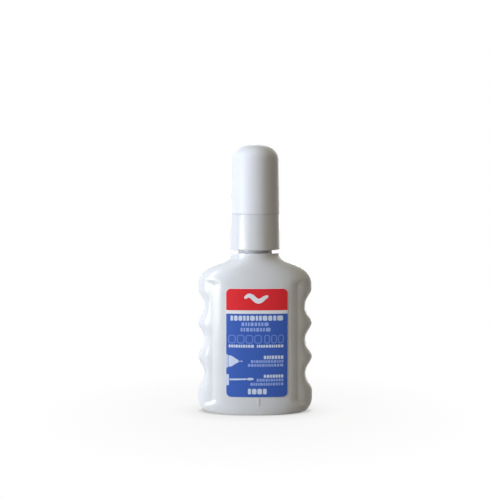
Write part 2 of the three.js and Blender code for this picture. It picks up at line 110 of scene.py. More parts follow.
# Many tubes as one mesh. Each has its rings, closed by fans about the end rings' first points, and
# whether its last ring is joined to its first instead.
def joinedMesh(name, tubes):
    points, quads, triangles = [], [], [np.zeros((0, 3), int)]
    start = 0
    for rings, closed in tubes:
        rows, columns = rings.shape[:2]
        points.append(rings.reshape(-1, 3))
        quads.append(tubeQuads(rows, columns, closed) + start)
        if not closed:
            lid = np.array([[0, k, k + 1] for k in range(1, columns - 1)]) + start
            triangles += [lid[:, [0, 2, 1]], lid + (rows - 1) * columns]
        start += rows * columns
    return makeMesh(name, *(np.concatenate(part) for part in (points, quads, triangles)))


# A profile with rounded corners. Each corner is radius, height and the radius of its rounding: the
# arc that touches both sides, with a close pair of points past each end to keep the sides flat.
def roundedProfile(corners, closed):
    xy = np.array([c[:2] for c in corners], float)
    out = []
    for i, corner in enumerate(corners):
        fillet = corner[2] if len(corner) > 2 else 0
        if not fillet or (not closed and i in (0, len(corners) - 1)):
            out.append(xy[i][None])
            continue
        before, after = xy[i - 1] - xy[i], xy[(i + 1) % len(xy)] - xy[i]
        lengths = np.linalg.norm(before), np.linalg.norm(after)
        before, after = before / lengths[0], after / lengths[1]
        half = math.acos(np.clip(before @ after, -1, 1)) / 2
        reach = min(fillet / math.tan(half), 0.45 * min(lengths))
        fillet = reach * math.tan(half)
        centre = xy[i] + (before + after) / np.linalg.norm(before + after) * fillet / math.sin(half)
        start = xy[i] + before * reach - centre
        end = xy[i] + after * reach - centre
        turn = math.atan2(start[0] * end[1] - start[1] * end[0], start @ end)
        t = np.linspace(0, turn, 6)[:, None]
        arc = centre + np.cos(t) * start + np.sin(t) * np.array([-start[1], start[0]])
        support = reach * 0.12
        out.append(np.concatenate([arc[:1] + before * support, arc, arc[-1:] + after * support]))
    return np.concatenate(out)


# Points of an arc round a middle: the radius times the angles' cosines and sines.
def arcPoints(x, z, radius, angles):
    return np.stack([x + radius * np.cos(angles), z + radius * np.sin(angles)], -1)


# Points about Z: a radius times an angle's cosine and sine, at a height.
def polar(radius, angle, z):
    return np.stack(np.broadcast_arrays(radius * np.cos(angle), radius * np.sin(angle), z), -1)


# The rings of a profile turned about Z: each point's radius round the circle, at its height.
def turnedRings(profile, segments):
    angle = np.arange(segments) * 2 * np.pi / segments
    return polar(profile[:, :1], angle, profile[:, 1:])


# Nought below the first value, one above the second, and between them three times the square of
# the share of the way less twice its cube.
def smoothStep(low, high, value):
    t = np.clip((value - low) / (high - low), 0, 1)
    return t * t * (3 - 2 * t)


# Materials

# Adds a shader node, links the inputs that are sockets, sets the others and returns the outputs.
def addNode(tree, kind, inputs=None, **settings):
    made = tree.nodes.new("ShaderNode" + kind)
    for key, value in settings.items():
        setattr(made, key, value)
    for key, value in (inputs or {}).items():
        if isinstance(value, bpy.types.NodeSocket):
            tree.links.new(value, made.inputs[key])
        else:
            made.inputs[key].default_value = value
    return made.outputs


# A principled material and helpers that add nodes to it: spread maps one range of values onto
# another, and mix goes from one colour to a second.
class Finish:
    def __init__(self, name, **values):
        self.material = bpy.data.materials.new(name)
        self.material.use_nodes = True
        self.tree = self.material.node_tree
        self.shader = self.tree.nodes["Principled BSDF"]
        for socket, value in values.items():
            self.shader.inputs[socket.replace("_", " ")].default_value = value

    def node(self, kind, inputs=None, **settings):
        return addNode(self.tree, kind, inputs, **settings)

    def place(self):
        return self.node("TexCoord")["Object"]

    def noise(self, scale, detail=2.0, roughness=0.5, stretch=(1, 1, 1)):
        vector = self.node("Mapping", {"Vector": self.place(), "Scale": stretch})[0]
        values = {"Vector": vector, "Scale": scale, "Detail": detail, "Roughness": roughness}
        return self.node("TexNoise", values)["Fac"]

    def spread(self, factor, fromLow, fromHigh, toLow, toHigh):
        values = {"Value": factor, "From Min": fromLow, "From Max": fromHigh}
        return self.node("MapRange", {**values, "To Min": toLow, "To Max": toHigh})["Result"]

    def mix(self, factor, first, second):
        return self.node("Mix", {0: factor, 6: first, 7: second}, data_type="RGBA")[2]

    def bump(self, height, strength, distance, under=None):
        values = {"Height": height, "Strength": strength, "Distance": distance}
        if under is not None:
            values["Normal"] = under
        return self.node("Bump", values)["Normal"]

    def link(self, socket, name):
        self.tree.links.new(socket, self.shader.inputs[name])


plastic = {
    # the two colours between which its tint drifts
    "bottle": ((0.825, 0.825, 0.82, 1), (0.795, 0.795, 0.785, 1)),
    "cap": ((0.88, 0.88, 0.9, 1), (0.87, 0.87, 0.88, 1)),
    "collar": ((0.82, 0.82, 0.83, 1), (0.795, 0.795, 0.785, 1)),
    "inner": ((0.74, 0.74, 0.72, 1), (0.7, 0.7, 0.67, 1)),
    "nozzle": ((0.62, 0.61, 0.66, 1), (0.58, 0.57, 0.62, 1)),
    "wave": 90,  # per metre: slow unevenness of blown and moulded walls
    "waveHeight": 0.00025,
    "grain": 2600,
    "grainHeight": 0.00002,
    "scatter": 0.0015,
}


# Glossy moulded plastic: slow waves and a fine skin in its bump, a faint drift of tint and gloss.
def mouldedPlastic(name, colours, waves, roughness, subsurface=0.0, specular=0.5):
    finish = Finish(name, IOR=1.49, Subsurface_Weight=subsurface, Specular_IOR_Level=specular)
    finish.shader.inputs["Subsurface Radius"].default_value = (1, 0.9, 0.8)
    finish.shader.inputs["Subsurface Scale"].default_value = plastic["scatter"]
    drift = finish.noise(plastic["wave"], 3.0)
    finish.link(finish.mix(finish.spread(drift, 0.35, 0.65, 0, 1), *colours), "Base Color")
    scuffs = finish.noise(plastic["wave"] * 9, 4.0, 0.65)
    finish.link(finish.spread(scuffs, 0.3, 0.7, *roughness), "Roughness")
    broad = finish.bump(finish.noise(plastic["wave"] * 1.6, 1.0), waves, plastic["waveHeight"])
    fine = finish.bump(finish.noise(plastic["grain"], 2.0), 0.05, plastic["grainHeight"], broad)
    finish.link(fine, "Normal")
    return finish.material


metal = {
    "colour": (0.55, 0.55, 0.56, 1),
    "dull": (0.43, 0.43, 0.44, 1),
    "draw": (3000, 3000, 200),  # drawing lines run along the tube
    "ground": (700, 700, 700),  # the ball's marks run all ways
}


# Drawn stainless steel: fine lines along the tube in its tint and gloss.
def drawnSteel(name, stretch):
    finish = Finish(name, Metallic=1.0)
    lines = finish.noise(1.0, 3.0, 0.6, stretch)
    finish.link(finish.mix(lines, metal["colour"], metal["dull"]), "Base Color")
    finish.link(finish.spread(lines, 0.3, 0.7, 0.16, 0.32), "Roughness")
    finish.link(finish.bump(lines, 0.15, 0.00001), "Normal")
    return finish.material


# Soft matt rubber-like seal with a fine grain.
def softRubber(name, colour, shade):
    finish = Finish(name)
    grain = finish.noise(1800, 4.0, 0.6)
    finish.link(finish.mix(grain, colour, shade), "Base Color")
    finish.link(finish.spread(grain, 0.3, 0.7, 0.55, 0.75), "Roughness")
    finish.link(finish.bump(grain, 0.2, 0.00003), "Normal")
    return finish.material


# Nylon strands: darker at the root, paler at the tip, by height along the tuft.
def nylonStrands(name, root, tip, rootZ, tipZ):
    finish = Finish(name, Roughness=0.42)
    height = finish.node("SeparateXYZ", {"Vector": finish.place()})["Z"]
    along = finish.spread(height, rootZ * mm, tipZ * mm, 0, 1)
    streak = finish.noise(1.0, 2.0, 0.5, (9000, 9000, 400))
    uneven = finish.node("Math", {0: streak, 1: 0.35, 2: along}, operation="MULTIPLY_ADD")[0]
    finish.link(finish.mix(finish.spread(uneven, 0.1, 1.1, 0, 1), root, tip), "Base Color")
    return finish.material


# name, two colours, waves, lowest and highest roughness, subsurface, specular level
bottleFinish = mouldedPlastic("bottle gloss", plastic["bottle"], 0.3, (0.13, 0.21), 0.12)
capFinish = mouldedPlastic("cap satin", plastic["cap"], 0.12, (0.32, 0.42), 0.2, 0.25)
collarFinish = mouldedPlastic("collar gloss", plastic["collar"], 0.12, (0.12, 0.18), 0.1, 0.4)
innerFinish = mouldedPlastic("inner plastic", plastic["inner"], 0.1, (0.34, 0.46))
nozzleFinish = mouldedPlastic("nozzle satin", plastic["nozzle"], 0.1, (0.28, 0.38))
steelFinish = drawnSteel("drawn steel", metal["draw"])
ballFinish = drawnSteel("ball steel", metal["ground"])
sealFinish = softRubber("soft seal", (0.45, 0.48, 0.5, 1), (0.4, 0.42, 0.44, 1))
print("materials made")


# Gives a piece its finish and its body, and hides the CAD nodes that it stands for.
def finishPiece(obj, body, finish, slotName, *replaced):
    obj.data.materials.clear()
    obj.data.materials.append(finish)
    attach(obj, body)
    if replaced:
        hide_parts(*replaced)


# A profile with rounded corners, turned about Z into a closed mesh and finished.
def turnedPiece(name, corners, closed, segments, *finishing):
    finishPiece(tubeMesh(name, turnedRings(roundedProfile(corners, closed), segments), closed), *finishing)


# Bottle

bottle = {
    "halfWidth": 17.7,
    "footHalfWidth": 18.0,
    "halfDepth": 7.5,
    "squareness": 2.14,
    "wall": 1.1,
    "floor": 1.3,
    "footHeight": 4.5,
    "footInset": 3.0,
    "footInsetFront": 0.5,
    "baseRimWidth": 2.6,
    "baseRecess": 0.5,
    "baseSlope": 0.8,
    "gripStart": 6.65,
    "gripPitch": 10.65,
    "gripCount": 3,
    "gripDepth": 2.05,
    "gripBreadth": 0.68,
    "gripReach": 1.7,  # power that keeps the grooves in the outer part of the side zones
    "rollStart": 10.3,  # the panel's rounded margin, from beside the label to the crease
    "rollDrop": 0.58,
    "rollZ": (3.0, 41.3),  # heights at which it has half of its size
    "bandReturn": 0.25,  # how far the surface comes forward again past the crease
    "bandWidth": 2.4,
    "bandZ": (3.5, 41.3),
    "fade": 2.2,  # height over which they come and go
    "crease": 0.735,
    "creaseFlare": 0.13,
    "gripMargin": 1.45,
    "shoulderHeight": 9.95,
    "shoulderSag": 3.1,
    "shoulderRise": 7.1,
    "ledgeRadius": 7.65,
    "ledgeEdge": 0.2,
    "neckRadius": 5.4,
    "neckBore": 4.1,
    "neckHeight": 8.45,
    "seam": 0.035,  # height of the parting line of the mould
    "seamWidth": 0.11,
    "sideRows": 160,
    "shoulderRows": 50,
    "threadRows": 84,
    "hollowRows": 32,
}
b = bottle
gripTop = b["gripStart"] + b["gripCount"] * b["gripPitch"]
shoulderZ = gripTop + b["gripMargin"]
ledgeZ = shoulderZ + b["shoulderHeight"]
rimZ = ledgeZ + b["neckHeight"]

thread = {
    "height": 0.8,
    "collarHeight": 0.4,
    "pitch": 2.4,
    "turns": 1.75,
    "foot": 1.3,
    "crest": 0.5,
    "lift": 1.85,  # height of its start over the ledge
    "runIn": 8,  # one over the turn in which it rises, and in which it sinks
}


# Height of a thread's ridge over the wall, from 0 to 1, at an angle and a height: a flat crest with
# straight flanks about the helix, rising over the first eighth of a turn and sinking over the last.
def threadShare(angle, z, startZ):
    turnShare = (angle / (2 * np.pi)) % 1
    total = np.zeros(np.broadcast(angle, z).shape)
    for whole in range(math.ceil(thread["turns"])):
        turn = turnShare + whole
        offset = np.abs(z - startZ - thread["pitch"] * turn)
        ridge = np.clip((thread["foot"] / 2 - offset) / (thread["foot"] / 2 - thread["crest"] / 2), 0, 1)
        ends = np.clip(np.minimum(turn, thread["turns"] - turn) * thread["runIn"], 0, 1)
        total = np.maximum(total, ridge * ends)
    return total


# Adds the thread to the points of a round wall above a height: the ridge's height times its share
# goes onto their radius, or comes off it where the height is negative.
def addThread(rings, wallRadius, lowest, height, startZ):
    radius = np.hypot(rings[..., 0], rings[..., 1])
    angle = np.arctan2(rings[..., 1], rings[..., 0])
    onWall = (np.abs(radius - wallRadius) < 0.002) & (rings[..., 2] > lowest)
    ridge = height * threadShare(angle, rings[..., 2], startZ) * onWall
    rings[..., :2] *= ((radius + ridge) / np.maximum(radius, 1e-6))[..., None]


# Half width of the bottle's side, which narrows evenly from the foot to the shoulder.
def sideHalfWidth(z):
    share = np.clip((z - b["footHeight"]) / (shoulderZ - b["footHeight"]), 0, 1)
    return b["footHalfWidth"] + (b["halfWidth"] - b["footHalfWidth"]) * share


# Depth of the finger grooves: the square of a sine along the side, divided by itself plus a share
# of its complement, which broadens the troughs and keeps the lobes between them round.
def grooveDepth(z):
    wave = np.sin(np.pi * np.clip((z - b["gripStart"]) / b["gripPitch"], 0, b["gripCount"])) ** 2
    return b["gripDepth"] * wave / (wave + b["gripBreadth"] * (1 - wave))


# One between two heights, and easing to nothing past both of them.
def between(ends, z):
    half = b["fade"] / 2
    start, end = (smoothStep(edge - half, edge + half, z) for edge in ends)
    return start * (1 - end)


# The rows of the bottle, each a half width, half depth, exponent, groove depth and height, from
# the recess in the base up the outside and down the hollow. The foot is a quarter of an ellipse and
# the shoulder a cubic curve that is upright at both ends.
def bottleRows():
    def rows(width, depth, power, z, groove=0):
        return np.stack(np.broadcast_arrays(width, depth, power, groove, z), -1).reshape(-1, 5)

    def roundRows(profile):
        return rows(profile[:, 0], profile[:, 0], 2, profile[:, 1])

    wall, ledge, halfDepth = b["wall"], b["ledgeRadius"], b["halfDepth"]
    power = b["squareness"]
    foot = np.radians(np.linspace(0, 90, 22))
    drawIn = 1 - np.sin(foot)
    footWidth = b["footHalfWidth"] - b["footInset"] * drawIn
    footDepth = halfDepth - b["footInsetFront"] * drawIn
    footZ = b["footHeight"] * (1 - np.cos(foot))
    inset = np.array([1.0, 0.85, 0.15, 0.0]) * b["baseSlope"] + b["baseRimWidth"]
    inset = np.append(inset, b["baseRimWidth"] * np.array([0.95, 0.5, 0.05]))
    recess = np.array([1, 0.95, 0.05, 0, 0, 0, 0]) * b["baseRecess"]
    base = rows(footWidth[0] - inset, footDepth[0] - inset, power, recess)
    outside = rows(footWidth, footDepth, power, footZ)
    z = np.linspace(b["footHeight"], shoulderZ, b["sideRows"])[1:]
    side = rows(sideHalfWidth(z), halfDepth, power, z, grooveDepth(z))
    t = np.linspace(0, 1, b["shoulderRows"])[1:]
    edgeZ = ledgeZ - b["ledgeEdge"]
    lift = [shoulderZ, shoulderZ + b["shoulderRise"], edgeZ - b["shoulderSag"], edgeZ]
    reach = [b["halfWidth"], b["halfWidth"], ledge, ledge]
    weights = np.stack([(1 - t) ** 3, 3 * t * (1 - t) ** 2, 3 * t * t * (1 - t), t**3])
    ease = smoothStep(0, 1, t)
    curveDepth = halfDepth + (ledge - halfDepth) * ease
    shoulder = rows(reach @ weights, curveDepth, power + (2 - power) * ease, lift @ weights)
    outerR, bore, ceiling = b["neckRadius"], b["neckBore"], ledgeZ - wall
    corners = [(ledge, edgeZ), (ledge, ledgeZ, 0.25), (outerR, ledgeZ, 0.3), (outerR, rimZ, 0.22)]
    corners += [(bore, rimZ, 0.22), (bore, ceiling, 0.5), (bore + 2, ceiling - 0.5)]
    neck = roundedProfile(corners, False)[1:]
    fine = np.linspace(ledgeZ + 0.6, rimZ - 0.6, b["threadRows"])
    outer = neck[(neck[:, 0] > outerR - 0.001) & (neck[:, 1] < ledgeZ + 0.55)]
    rest = neck[len(outer) :]
    neckWall = np.stack([np.full(len(fine), outerR), fine], -1)
    s = shoulder[6:-12:4][::-1]
    hollowShoulder = rows(s[:, 0] - wall * 0.9, s[:, 1] - wall, s[:, 2], s[:, 4] - wall * 0.8)
    h = np.linspace(b["gripStart"], shoulderZ - 1, b["hollowRows"])[::-1]
    hollow = rows(sideHalfWidth(h) - wall, halfDepth - wall, power, h, grooveDepth(h))
    floorRows = rows(footWidth[::-3] - wall, footDepth[::-3] - wall, power, footZ[::-3] + b["floor"])
    neckRows = roundRows(np.concatenate([outer, neckWall, rest]))
    return np.concatenate([base, outside, side, shoulder, neckRows, hollowShoulder, hollow, floorRows])


# A section is a superellipse: half width times a power of the angle's cosine, half depth times the
# same power of its sine. It rolls off to the crease by a square and comes forward a little past
# it, and the grooves draw it in by a power of the distance from the crease. The mould's parting
# line is a narrow bell at y = 0.
def bottleRings(rowTable):
    width, depth, power, groove, z = (rowTable[:, i][:, None] for i in range(5))
    band = between(b["bandZ"], z)
    crease = b["crease"] + b["creaseFlare"] * (1 - band)
    creaseAngle = np.arccos(crease ** (power / 2))
    near = np.array([0, 0.004, 0.009, 0.015, 0.022, 0.03, 0.042, 0.06, 0.085])
    side = np.concatenate([near, np.linspace(0.115, 0.92, 18), np.linspace(0.935, 1, 8)])
    panel = np.concatenate([np.linspace(0, 0.09, 9)[1:], np.linspace(0.12, 1, 18)])
    angle = np.concatenate([creaseAngle * side, creaseAngle + (np.pi / 2 - creaseAngle) * panel], 1)
    x = width * np.maximum(np.cos(angle), 0) ** (2 / power)
    x[:, -1] = 0
    y = depth * np.sin(angle) ** (2 / power)
    creaseX = crease * width
    roll = np.clip((x - b["rollStart"]) / np.maximum(creaseX - b["rollStart"], 1), 0, 1) ** 2
    back = smoothStep(0, b["bandWidth"], x - creaseX) * band
    y = y - (b["rollDrop"] * roll * between(b["rollZ"], z) - b["bandReturn"] * back) * np.minimum(y / 2, 1)
    x = x - groove * np.clip((x - creaseX) / (width - creaseX), 0, 1) ** b["gripReach"]
    seam = b["seam"] * np.exp(-((y / b["seamWidth"]) ** 2)) * (width > b["neckRadius"] + 1)
    x = x + np.where(x > 0.5, seam, 0)
    q = np.stack([x, y], -1)
    inner = q[:, -2:0:-1]
    flat = np.concatenate([q, inner * (-1, 1), q * (-1, -1), inner * (1, -1)], 1)
    return np.concatenate([flat, np.broadcast_to(z[:, :, None], flat.shape[:2] + (1,))], -1)


# The bottle's rings, with the thread on the neck's wall.
def makeBottle():
    rings = bottleRings(bottleRows())
    addThread(rings, b["neckRadius"], ledgeZ + 0.5, thread["height"], ledgeZ + thread["lift"])
    finishPiece(tubeMesh("bottle_shell", rings), "bottle", bottleFinish, "bottle_plastic", "bottle_body")


makeBottle()


# Distance of the front panel from the middle plane: the superellipse solved for its depth.
def panelDepth(x, z):
    share = np.abs(x) / sideHalfWidth(z)
    return b["halfDepth"] * (1 - share ** b["squareness"]) ** (1 / b["squareness"])


# Points over the front panel, each lifted off it by the same height.
def overPanel(x, z, height):
    return np.stack([x, -(panelDepth(x, z) + height), z], -1)


# A thin slab on the front panel between two heights given at each station across it: four points
# a station, two on the back and two on the front, both bent to the panel at their own lift.
def panelSlab(x, lowZ, highZ, lift, thickness):
    front = lift + thickness
    corners = ((lowZ, lift), (highZ, lift), (highZ, front), (lowZ, front))
    return np.stack([overPanel(x, z, height) for z, height in corners], -2)


mouldMark = {"x": 1.0, "z": (3.2, 5.35), "halfWidth": 0.22, "height": 0.16, "root": 0.15}


# The small upright mark that the mould leaves below the label.
def makeMouldMark():
    m = mouldMark
    x = m["x"] + m["halfWidth"] * np.linspace(-1, 1, 7)
    lowZ, highZ = (np.full(len(x), z) for z in m["z"])
    slab = panelSlab(x, lowZ, highZ, -m["root"], m["root"] + m["height"])
    finishPiece(tubeMesh("mould_mark", slab), "bottle", bottleFinish, "bottle_plastic")


makeMouldMark()
print("bottle made")


# Cap and collar

cap = {
    "rimRadius": 7.65,
    "wall": 1.1,
    "taper": 0.3,
    "corner": 4.6,
    "crown": 0.15,
    "sealRadius": 2.4,
    "sealBore": 1.05,
    "sealRoof": 1.35,
    "bossGap": 0.3,  # round the seal
    "bossWall": 0.9,
    "spigot": 3.15,
    "joint": 0.05,  # gap over the collar
    "gate": (0.75, 0.12),  # radius and depth of the moulding gate's dimple on top
}


# The cap's outline: tapered side, a quarter circle at the corner and a shallow dome on top.
def makeCap():
    c = cap
    top = high("cap_shell")
    bottom = high("screw_collar") - collar["spigotHeight"] + c["joint"]
    topRadius = c["rimRadius"] - c["taper"]
    cornerR = topRadius - c["corner"]
    cornerZ = top - c["crown"] - c["corner"]
    ceiling = top - c["crown"] - c["wall"]
    boreRim = c["rimRadius"] - c["wall"]
    bossBore = c["sealRadius"] + c["bossGap"]
    bossZ = low("cap_seal")
    innerR = c["corner"] - c["wall"]
    bossOuter = bossBore + c["bossWall"]
    bossAngle = math.acos((bossOuter - cornerR) / innerR)
    bossTop = cornerZ + innerR * math.sin(bossAngle)
    inside = [(0.4, ceiling), (bossBore, ceiling, 0.3), (bossBore, bossZ, 0.12), (bossOuter, bossZ, 0.12)]
    inside = roundedProfile(inside + [(bossOuter, bossTop)], False)
    quarter = np.radians(np.linspace(90, 0, 24))
    inward = np.linspace(bossAngle, 0, 16)
    innerArc = arcPoints(cornerR, cornerZ, innerR, inward)
    rim = [(topRadius - c["wall"], cornerZ), (boreRim, bottom + c["spigot"], 1.0), (boreRim, bottom, 0.15)]
    rim = roundedProfile(rim + [(c["rimRadius"], bottom, 0.07), (topRadius, cornerZ)], False)
    outerArc = arcPoints(cornerR, cornerZ, c["corner"], quarter[::-1])
    r = np.linspace(cornerR, 0.08, 40)[1:]
    dome = top - c["crown"] * (r / cornerR) ** 2
    gateRadius, gateDepth = c["gate"]
    dome = dome - gateDepth * (1 - smoothStep(gateRadius * 0.7, gateRadius, r))
    profile = np.concatenate([inside, innerArc[1:], rim[1:-1], outerArc, np.stack([r, dome], -1)])
    obj = tubeMesh("cap_body", turnedRings(profile, 160))
    finishPiece(obj, "cap", capFinish, "cap_plastic", "cap_shell")


# The seal: a round cup, open below, with its roof's thickness over its bore.
def makeCapSeal():
    bottom, top = span("cap_seal")
    radius, bore, roof = cap["sealRadius"], cap["sealBore"], top - cap["sealRoof"]
    corners = [(0.2, roof), (bore, roof, 0.2), (bore, bottom, 0.15)]
    corners += [(radius, bottom, 0.2), (radius, top, 0.2), (0.2, top)]
    turnedPiece("cap_plug", corners, False, 64, "cap", sealFinish, "soft_seal", "cap_seal")


collar = {
    "bore": 6.95,
    "topRadius": 7.65,
    "flare": 0.2,
    "edge": 0.35,
    "topWall": 1.5,
    "spigotHeight": 3.15,
    "spigotRadius": 6.25,
    "spigotTaper": 0.1,
    "insertBore": 5.05,
    "insertReach": 4,  # from the stem holder's foot up to where the wider bore begins
    "nozzleHole": 4.6,
    "threadRows": 100,
}


# The collar: a spigot for the cap, a skirt that widens evenly from its top to its foot, a stepped
# bore, and the thread taken off the radius of the wide bore.
def makeCollar():
    bottom, top = span("screw_collar")
    c = collar
    shoulder = top - c["spigotHeight"]
    ceiling = top - c["topWall"]
    pocket = low("stem_holder") + c["insertReach"]
    footRadius = c["topRadius"] + c["flare"]
    hole, insert = c["nozzleHole"], c["insertBore"]
    bore, outer, spigot = c["bore"], c["topRadius"], c["spigotRadius"]
    corners = [(footRadius, bottom, c["edge"]), (outer, shoulder, 0.07), (spigot, shoulder, 0.1)]
    corners += [(spigot - c["spigotTaper"], top, 0.5), (hole, top, 0.1), (hole, ceiling, 0.1)]
    corners += [(insert, ceiling, 0.1), (insert, pocket, 0.1), (bore, pocket, 0.15), (bore, pocket - 1)]
    before = roundedProfile(corners, False)[1:-1]
    corners = [(bore, bottom + 1), (bore, bottom, 0.3), (footRadius, bottom, c["edge"]), (outer, shoulder)]
    foot = roundedProfile(corners, False)[1:-1]
    z = np.linspace(pocket - 0.6, bottom + 0.6, c["threadRows"])
    profile = np.concatenate([before, np.stack([np.full(len(z), bore), z], -1), foot])
    rings = turnedRings(profile, 160)
    startZ = ledgeZ + thread["lift"] + thread["pitch"] / 2
    addThread(rings, bore, bottom, -thread["collarHeight"], startZ)
    finishPiece(tubeMesh("collar_body", rings, True), "head", collarFinish, "cap_plastic", "screw_collar")


makeCap()
makeCapSeal()
makeCollar()
print("cap and collar made")


# Nozzle, tip and brush

nozzle = {
    "rootRadius": 4.3,
    "endRadius": 2.5,
    "bore": 3.2,
    "flangeRadius": 4.75,
    "flange": 0.9,
    "tipHole": 1.05,
    "nose": 2.1,
    "cone": 2.1,
    "swell": 0.62,
}


# The nozzle's side is a quadratic curve: straight up from its root, then bending in to its end.
def makeNozzle():
    n = nozzle
    bottom, top = span("nozzle")
    base = high("screw_collar")
    root, end, hole, bore = n["rootRadius"], n["endRadius"], n["tipHole"], n["bore"]
    flangeTop, noseZ = bottom + n["flange"], top - n["nose"]
    t = np.linspace(0, 1, 28)[1:-1, None]
    ends = np.array([(root, base), (root, base + (top - base) * n["swell"]), (end, top - 0.45)])
    side = (1 - t) ** 2 * ends[0] + 2 * t * (1 - t) * ends[1] + t * t * ends[2]
    nose = [(end + 0.16, top - 0.9), (end - 0.1, top, 0.4), (hole, top, 0.12), (hole, noseZ, 0.2)]
    nose += [(bore, noseZ - n["cone"], 0.5), (bore, bottom, 0.1), (n["flangeRadius"], bottom, 0.1)]
    nose += [(n["flangeRadius"], flangeTop, 0.1), (root, flangeTop, 0.1), (root, base)]
    profile = np.concatenate([side[:-2], roundedProfile(nose, False)[1:]])
    obj = tubeMesh("nozzle_cone", turnedRings(profile, 112), True)
    finishPiece(obj, "head", nozzleFinish, "nozzle_plastic", "nozzle")


tip = {"bore": 0.5, "radius": 0.75, "flangeRadius": 1.9, "flange": 0.7}


# The tip: a tube with a flange round its foot.
def makeTip():
    bottom, top = span("metal_tip")
    bore, radius, flangeRadius = tip["bore"], tip["radius"], tip["flangeRadius"]
    flangeTop = bottom + tip["flange"]
    corners = [(bore, bottom, 0.05), (flangeRadius, bottom, 0.15), (flangeRadius, flangeTop, 0.15)]
    corners += [(radius, flangeTop, 0.2), (radius, top, 0.16), (bore, top, 0.05)]
    turnedPiece("tip_tube", corners, True, 48, "head", steelFinish, "steel", "metal_tip")


needle = {"tailRadius": 0.6, "tail": 1, "headRadius": 1.1, "head": 0.8, "pinRadius": 0.25}


# The needle: a tail inside the spring, a head on the spring and a thin pin in the tip's bore.
def makeNeedle():
    bottom, top = span("valve_needle")
    tail, head, pin = needle["tailRadius"], needle["headRadius"], needle["pinRadius"]
    headZ = bottom + needle["tail"]
    pinZ = headZ + needle["head"]
    corners = [(0.1, bottom), (tail, bottom, 0.15), (tail, headZ, 0.1), (head, headZ, 0.1), (head, pinZ, 0.1)]
    corners += [(pin, pinZ, 0.1), (pin, top, 0.16), (0.05, top)]
    turnedPiece("needle_pin", corners, False, 32, "needle", steelFinish, "steel", "valve_needle")


spring = {
    "turns": 8,
    "closedTurns": 1,  # at each end, wound wire on wire
    "closedPitch": 2.05,  # times the wire's radius
    "wire": 0.14,  # radius
    "wireSides": 10,
    "turnSteps": 28,
    "radius": 0.95,
    "seatReach": 0.27,  # how far each end reaches past the CAD's wire, to its seat
    "press": 0.6,  # how far the needle goes in
}


# A wound wire. Its middle goes round at the coil's radius, and climbs by little more than the
# wire's thickness in a closed turn and evenly between those. The wire's ring lies round it.
def makeSpring():
    s = spring
    bottom, top = low("tip_spring") - s["seatReach"], high("tip_spring") + s["seatReach"]
    turn = np.linspace(0, s["turns"], s["turns"] * s["turnSteps"] + 1)
    lowest, highest = bottom + s["wire"], top - s["wire"]
    closed = s["closedTurns"] * s["wire"] * s["closedPitch"]
    stops = [0, s["closedTurns"], s["turns"] - s["closedTurns"], s["turns"]]
    height = np.interp(turn, stops, [lowest, lowest + closed, highest - closed, highest])[:, None]
    angle = 2 * np.pi * turn[:, None]
    around = -np.arange(s["wireSides"]) * 2 * np.pi / s["wireSides"]
    radius = s["radius"] + s["wire"] * np.cos(around)
    z = height + s["wire"] * np.sin(around)
    obj = tubeMesh("spring_wire", polar(radius, angle, z))
    finishPiece(obj, "head", steelFinish, "steel", "tip_spring")
    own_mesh(obj)


brush = {
    "stemRoot": 1.55,
    "stemEnd": 0.88,
    "pin": 0.5,
    "peg": 1.0,
    "ferrule": 2.2,
    "gap": 0.3,  # between the stem's steps and the ferrule and holder
    "ferruleRadius": 1.15,
    "ferruleBore": 0.8,
    "strands": 340,
    "strandRadius": 0.035,
    "shorter": 0.09,  # share of its length by which a strand may fall short
    "stray": 0.035,
    "swirl": 0.05,
    "tuftRoot": 0.42,
    "tuftBelly": 0.98,
    "tuftTip": 0.3,
}


# The stem: it widens evenly from its end to its root, with a pin below for the ferrule and a peg
# above for the holder.
def makeStem():
    s = brush
    bottom, top = span("brush_stem")
    shank = low("brush_ferrule") + s["ferrule"] + s["gap"]
    shoulder = low("stem_holder") - s["gap"]
    corners = [(0.1, bottom), (s["pin"], bottom, 0.1), (s["pin"], shank, 0.05), (s["stemEnd"], shank, 0.2)]
    corners += [(s["stemRoot"], shoulder, 0.3), (s["peg"], shoulder, 0.1), (s["peg"], top, 0.2), (0.1, top)]
    turnedPiece("stem_rod", corners, False, 64, "head", innerFinish, "inner_plastic", "brush_stem")


# The ferrule: a plain ring round the tuft's root.
def makeFerrule():
    bottom, top = span("brush_ferrule")
    bore, radius = brush["ferruleBore"], brush["ferruleRadius"]
    corners = [(bore, bottom, 0.06), (radius, bottom, 0.18), (radius, top, 0.18), (bore, top, 0.06)]
    turnedPiece("ferrule_ring", corners, True, 64, "head", innerFinish, "inner_plastic", "brush_ferrule")


